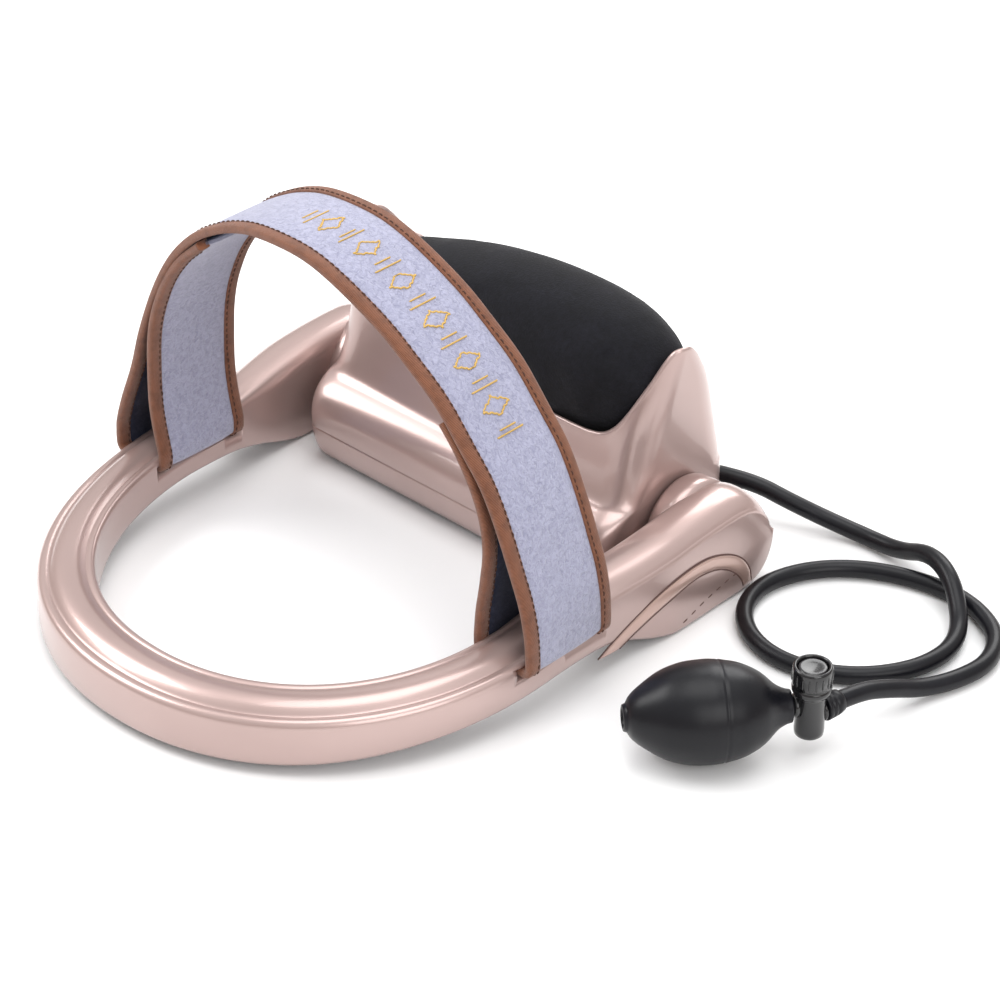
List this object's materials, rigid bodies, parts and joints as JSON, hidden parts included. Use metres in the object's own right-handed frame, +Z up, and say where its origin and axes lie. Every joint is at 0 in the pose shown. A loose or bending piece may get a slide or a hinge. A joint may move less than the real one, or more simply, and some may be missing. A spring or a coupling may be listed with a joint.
{
  "type": "cervical traction device",
  "caption": "Neck-rest base with an air-lifted dome pillow, a hinged head ring with a padded forehead band, and a hand pump on a rubber hose.",
  "frame": {"origin": "on the table, under the middle of the base and ring, hose and hand pump not counted", "axes": "+Z up, -Y from the neck rest towards the front of the ring, +X to the side the hose leaves"},
  "size_m": [0.3391, 0.2962, 0.1585],
  "materials": {
    "pearl_shell": "pearl champagne gloss",
    "inner_plastic": "satin",
    "trim_pink": "satin pearl",
    "foot_rubber": "matte",
    "steel": "brushed",
    "washer_nylon": "matte",
    "bronze": "satin",
    "pillow_knit": "fine black knit",
    "foam": "open-cell foam",
    "bladder_rubber": "matte",
    "plush": "lavender short-pile plush",
    "binding": "brown ribbed tape",
    "lining": "dark slate knit",
    "hook": "hook tape",
    "pump_rubber": "matte black",
    "valve_plastic": "gloss black"
  },
  "bodies": {
    "base": {"base_upper_shell": "pearl_shell", "base_tray": "inner_plastic", "rubber_feet": "foot_rubber", "tray_screws": "steel", "guide_sleeves": "inner_plastic", "hub_axle_left": "steel", "hub_axle_right": "steel", "axle_clip_left": "steel", "axle_clip_right": "steel", "friction_washer_left": "washer_nylon", "friction_washer_right": "washer_nylon", "air_bladder": "bladder_rubber", "inner_air_line": "pump_rubber", "hose_fitting": "valve_plastic", "air_hose": "pump_rubber", "hose_sleeve": "pump_rubber", "valve_body": "valve_plastic", "button_spring": "steel", "squeeze_bulb": "pump_rubber", "inlet_housing": "valve_plastic"},
    "traction_frame": {"traction_frame_shell": "pearl_shell", "traction_frame_cover": "inner_plastic", "frame_screws": "steel", "hub_bush_left": "bronze", "hub_bush_right": "bronze", "arm_trim_left": "trim_pink", "arm_trim_right": "trim_pink", "band_plush": "plush", "band_lining": "lining", "band_binding_front": "binding", "band_binding_rear": "binding", "band_hook_patches": "hook"},
    "pillow": {"pillow_plate": "inner_plastic", "pillow_foam": "foam", "pillow_cover": "pillow_knit"},
    "release_button": {"release_button": "valve_plastic"},
    "inlet_ball": {"inlet_ball": "steel"}
  },
  "joints": [
    {"name": "frame_pivot", "type": "hinge", "parent": "base", "child": "traction_frame", "pos_m": [0, 0.097, 0.0225], "axis": [-1, 0, 0], "range_deg": [0, 95]},
    {"name": "pillow_lift", "type": "slide", "parent": "base", "child": "pillow", "axis": [0, 0, 1], "range_m": [0, 0.025], "deforming": ["air_bladder"]},
    {"name": "release_button_press", "type": "slide", "parent": "base", "child": "release_button", "axis": [0, 0, -1], "range_m": [0, 0.003], "stiffness_N_per_m": 300, "springref_m": -0.001, "deforming": ["button_spring"]},
    {"name": "inlet_ball_lift", "type": "slide", "parent": "base", "child": "inlet_ball", "axis": [0.6402, 0.7682, 0], "range_m": [0, 0.001]}
  ]
}
